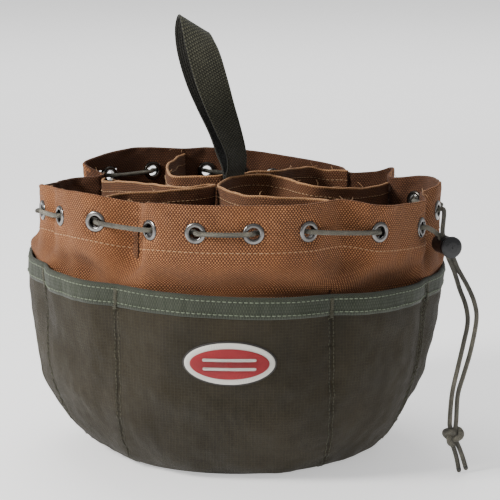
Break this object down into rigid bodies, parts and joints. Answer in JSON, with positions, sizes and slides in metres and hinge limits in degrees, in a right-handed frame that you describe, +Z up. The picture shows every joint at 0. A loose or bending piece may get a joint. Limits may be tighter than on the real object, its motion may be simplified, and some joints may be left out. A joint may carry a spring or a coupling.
{
  "type": "drawstring tool bag",
  "caption": "Soft round drawstring canvas tool bag with inner dividers, outside pockets, laced grommet rim, spring cord lock and webbing carry loop.",
  "frame": {"origin": "centre of the flat base, on the surface that the bag stands on", "axes": "+Z up, -Y towards the badge on the front, +X to the right as seen from the front, where the cord lock hangs"},
  "size_m": [0.325, 0.3109, 0.3188],
  "materials": {
    "canvas": "coarse plain-weave canvas",
    "skirt_fabric": "ripstop weave",
    "binding_tape": "ribbed binding tape",
    "thread": "sewing thread",
    "webbing": "ribbed webbing",
    "cord": "braided cord",
    "nickel": "nickel plate",
    "black_plastic": "satin black",
    "spring_steel": "bright wire",
    "badge_border": "moulded rubber",
    "badge_field": "moulded rubber"
  },
  "bodies": {
    "root": {"base_panel": "skirt_fabric", "canvas_wall": "canvas", "divider_right": "canvas", "divider_left": "canvas", "divider_back": "canvas", "pocket_skirt": "skirt_fabric", "skirt_binding": "binding_tape", "seam_bartacks": "thread", "grommet_eyelets": "nickel", "grommet_washers": "nickel", "handle_ends": "webbing", "drawstring_lacing": "cord", "cord_tail_a": "cord", "cord_tail_b": "cord", "tail_knot": "cord", "badge_plate": "badge_border", "badge_inlay": "badge_field"},
    "handle": {"handle_loop": "webbing"},
    "lock": {"lock_barrel": "black_plastic", "lock_spring": "spring_steel"},
    "plunger": {"lock_plunger": "black_plastic"}
  },
  "joints": [
    {"name": "handle_swing", "type": "hinge", "parent": "root", "child": "handle", "pos_m": [-0.0025, 0.0175, 0.203], "axis": [0.5299, 0.848, 0], "range_deg": [-55, 75]},
    {"name": "lock_slide", "type": "slide", "parent": "root", "child": "lock", "axis": [0.4031, 0.1271, -0.9063], "range_m": [0, 0.012]},
    {"name": "plunger_press", "type": "slide", "parent": "lock", "child": "plunger", "axis": [-0.3007, 0.9537, 0], "range_m": [0, 0.003], "stiffness_N_per_m": 400, "deforming": ["lock_spring"]}
  ]
}
